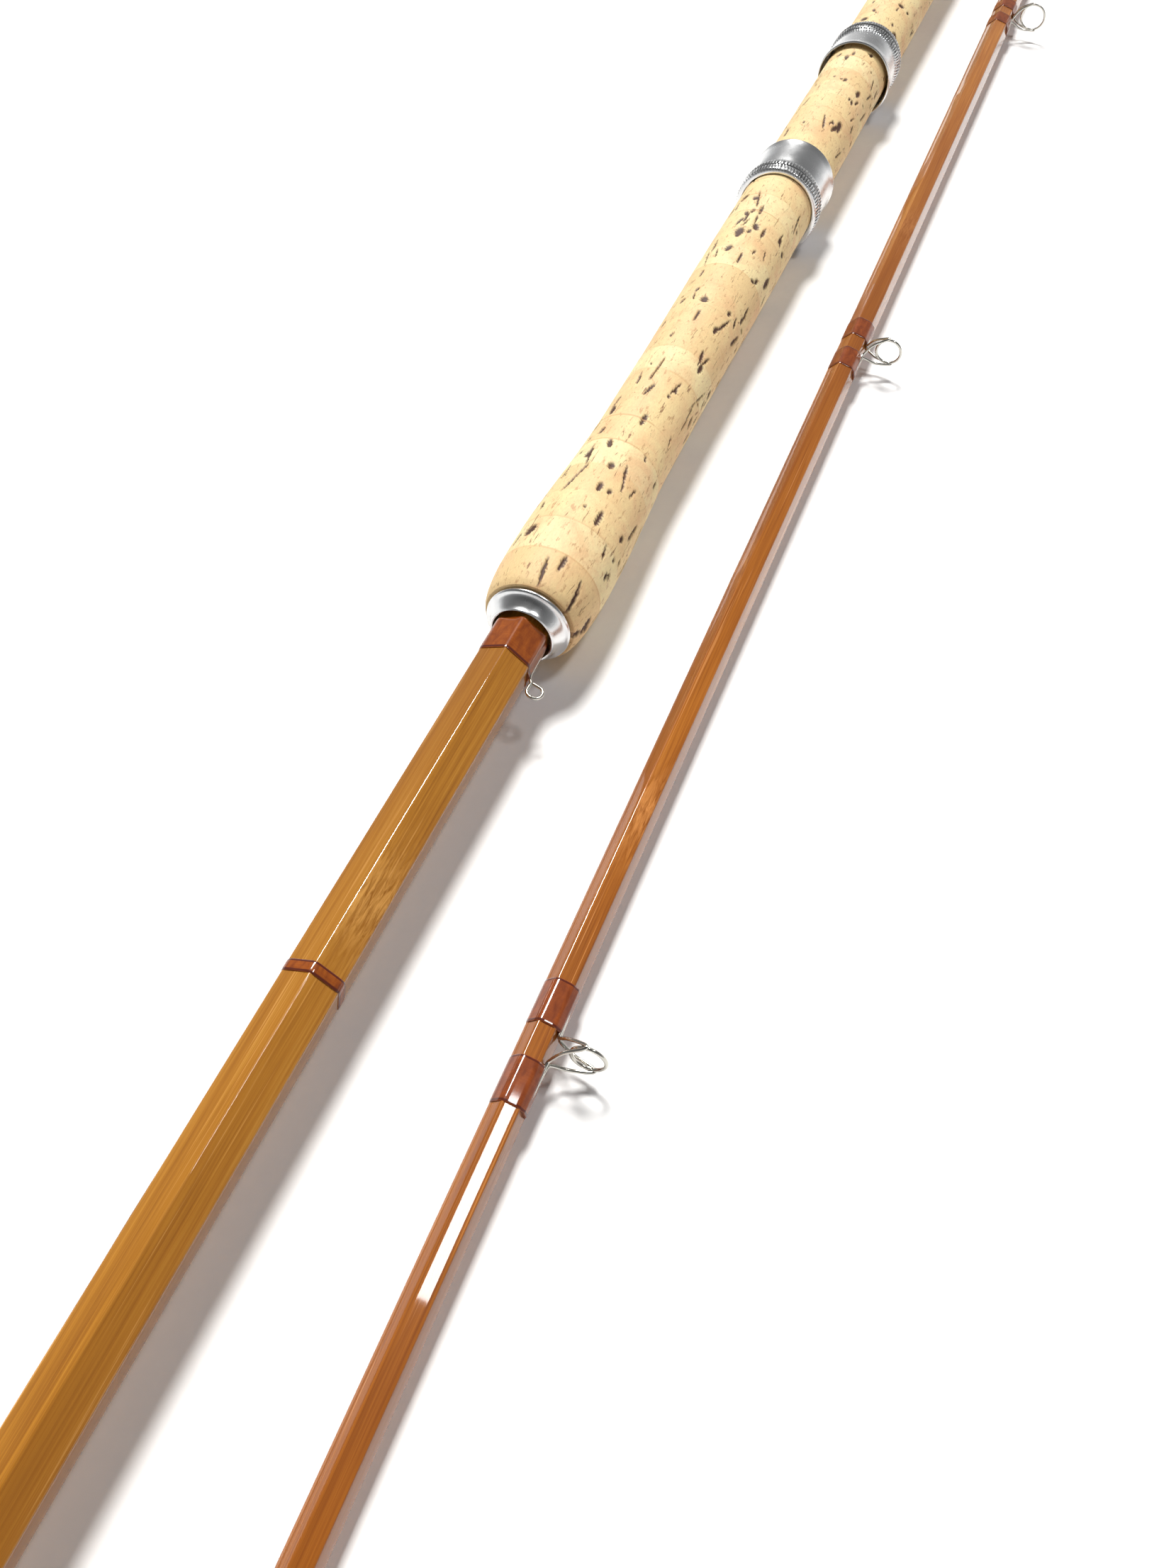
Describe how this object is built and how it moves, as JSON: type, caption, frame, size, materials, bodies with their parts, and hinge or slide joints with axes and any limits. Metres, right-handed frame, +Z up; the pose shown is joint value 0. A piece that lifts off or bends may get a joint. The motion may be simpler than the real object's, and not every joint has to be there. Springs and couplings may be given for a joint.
{
  "type": "split-cane fishing rod",
  "caption": "Split-cane rod laid out as its two sections: cork grip with sliding reel bands, wire line rings, silk whippings and a plug ferrule.",
  "frame": {"origin": "middle of the footprint of both sections, on the table they lie on", "axes": "+X along both sections, from the butt button towards the tip; +Y from the butt section towards the top section; +Z up"},
  "size_m": [1.7, 0.0774, 0.0314],
  "materials": {
    "cork": "sanded natural cork, open pores",
    "cane": "honey bamboo under clear gloss varnish",
    "silk": "red-brown silk thread under clear gloss varnish",
    "alloy": "polished, knurled rims",
    "nickel_silver": "polished nickel silver",
    "ring_steel": "bright plated wire",
    "rubber": "matt black"
  },
  "bodies": {
    "butt_section": {"butt_button": "rubber", "butt_cane_strip_1": "cane", "butt_cane_strip_2": "cane", "butt_cane_strip_3": "cane", "butt_cane_strip_4": "cane", "butt_cane_strip_5": "cane", "butt_cane_strip_6": "cane", "butt_cap": "alloy", "butt_ring_1": "ring_steel", "butt_ring_1_front_whipping": "silk", "butt_ring_1_rear_whipping": "silk", "butt_ring_2": "ring_steel", "butt_ring_2_front_whipping": "silk", "butt_ring_2_rear_whipping": "silk", "cork_grip": "cork", "female_ferrule": "nickel_silver", "female_ferrule_whipping": "silk", "grip_whipping": "silk", "keeper_ring": "ring_steel", "mark_whipping": "silk", "winding_check": "alloy"},
    "rear_reel_band": {"rear_reel_band": "alloy"},
    "front_reel_band": {"front_reel_band": "alloy"},
    "top_section": {"male_ferrule": "nickel_silver", "male_ferrule_whipping": "silk", "tip_ring": "ring_steel", "tip_whipping": "silk", "top_cane_strip_1": "cane", "top_cane_strip_2": "cane", "top_cane_strip_3": "cane", "top_cane_strip_4": "cane", "top_cane_strip_5": "cane", "top_cane_strip_6": "cane", "top_ring_1": "ring_steel", "top_ring_1_front_whipping": "silk", "top_ring_1_rear_whipping": "silk", "top_ring_2": "ring_steel", "top_ring_2_front_whipping": "silk", "top_ring_2_rear_whipping": "silk", "top_ring_3": "ring_steel", "top_ring_3_front_whipping": "silk", "top_ring_3_rear_whipping": "silk", "top_ring_4": "ring_steel", "top_ring_4_front_whipping": "silk", "top_ring_4_rear_whipping": "silk", "top_ring_5": "ring_steel", "top_ring_5_front_whipping": "silk", "top_ring_5_rear_whipping": "silk", "top_ring_6": "ring_steel", "top_ring_6_front_whipping": "silk", "top_ring_6_rear_whipping": "silk", "top_ring_7": "ring_steel", "top_ring_7_front_whipping": "silk", "top_ring_7_rear_whipping": "silk"}
  },
  "joints": [
    {"name": "rear_band_slide", "type": "slide", "parent": "butt_section", "child": "rear_reel_band", "axis": [1, 0, -0.0056], "range_m": [-0.2, 0.05]},
    {"name": "front_band_slide", "type": "slide", "parent": "butt_section", "child": "front_reel_band", "axis": [1, 0, -0.0056], "range_m": [-0.04, 0.15]},
    {"name": "top_section_slide", "type": "slide", "parent": "butt_section", "child": "top_section", "axis": [1, 0, 0], "range_m": [0, 1.72]}
  ]
}
